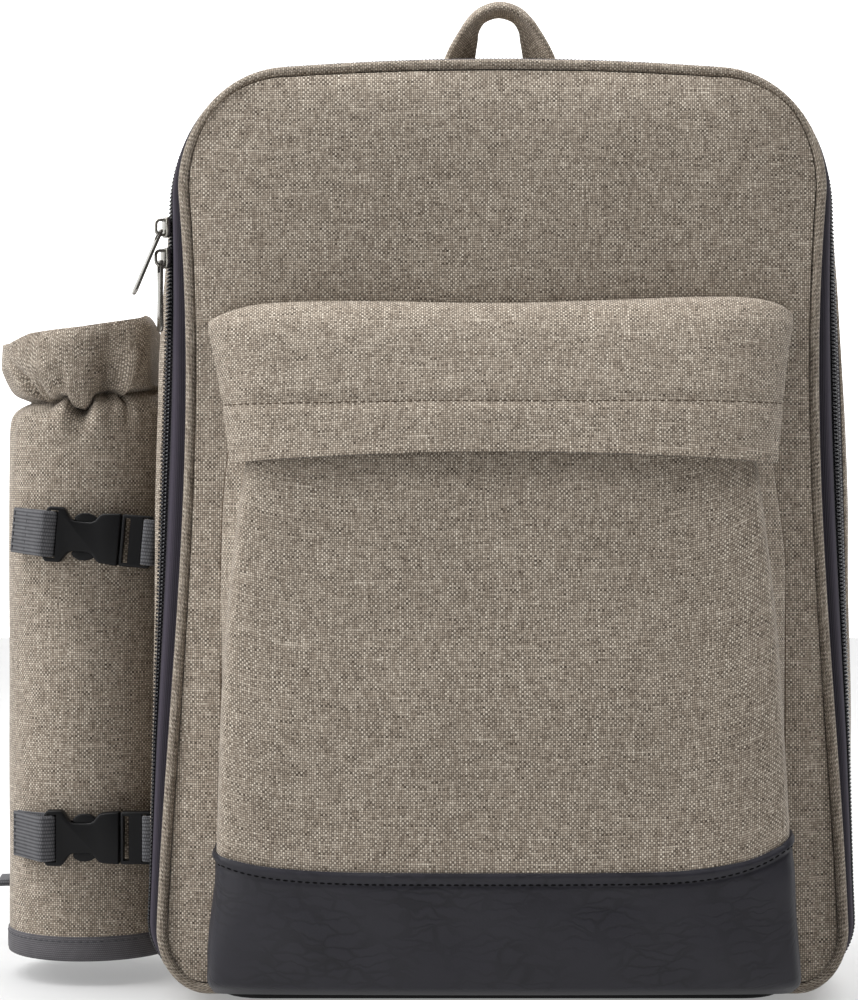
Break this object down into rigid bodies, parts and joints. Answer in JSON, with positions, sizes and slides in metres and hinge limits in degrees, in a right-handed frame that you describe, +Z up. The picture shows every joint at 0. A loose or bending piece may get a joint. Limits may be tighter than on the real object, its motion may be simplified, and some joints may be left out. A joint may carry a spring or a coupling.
{
  "type": "picnic backpack",
  "caption": "Soft picnic backpack with piped front, zipped opening, flapped front pocket, carry loop, shoulder straps and a gathered bottle pouch held by buckled straps.",
  "frame": {"origin": "on the floor under the middle of the black base", "axes": "+Z up, +X to the right seen from the front, -Y out of the front pocket"},
  "size_m": [0.395, 0.2083, 0.435],
  "materials": {
    "cloth": "woven melange",
    "leather": "grained, semi-matt",
    "base": "matt",
    "zip_tape": "woven",
    "zip_coil": "satin",
    "binding": "woven tape",
    "webbing": "ribbed webbing",
    "buckle": "moulded satin",
    "nickel": "polished nickel"
  },
  "bodies": {
    "bag": {"back_panel": "cloth", "base_panel": "base", "bottle_pouch": "cloth", "bottom_gusset": "cloth", "buckle_plug_lower": "buckle", "buckle_plug_upper": "buckle", "buckle_socket_lower": "buckle", "buckle_socket_upper": "buckle", "carry_loop": "cloth", "front_panel": "cloth", "front_piping": "cloth", "front_pocket": "cloth", "pocket_base": "leather", "pocket_flap": "cloth", "pouch_base": "binding", "pouch_binding": "binding", "shoulder_pad_left": "cloth", "shoulder_pad_right": "cloth", "shoulder_webbing_left": "webbing", "shoulder_webbing_right": "webbing", "side_gusset": "cloth", "strap_adjuster_left": "buckle", "strap_adjuster_right": "buckle", "strap_sewn_lower": "webbing", "strap_sewn_upper": "webbing", "strap_side_lower": "webbing", "strap_side_upper": "webbing", "strap_tab_left": "webbing", "strap_tab_right": "webbing", "strap_tail_left": "webbing", "strap_tail_right": "webbing", "zip_chain": "zip_coil", "zip_slider_lower": "nickel", "zip_slider_upper": "nickel", "zip_tape_front": "zip_tape", "zip_tape_rear": "zip_tape"},
    "zip_pull_upper": {"zip_pull_upper": "nickel"},
    "zip_pull_lower": {"zip_pull_lower": "nickel"}
  },
  "joints": [
    {"name": "zip_pull_upper_swing", "type": "hinge", "parent": "bag", "child": "zip_pull_upper", "pos_m": [-0.14703, -0.04965, 0.3297], "axis": [-0.3833, 0.9236, 0], "range_deg": [0, 100]},
    {"name": "zip_pull_lower_swing", "type": "hinge", "parent": "bag", "child": "zip_pull_lower", "pos_m": [-0.1471, -0.05004, 0.3164], "axis": [-0.4735, 0.8808, 0], "range_deg": [0, 28]}
  ]
}
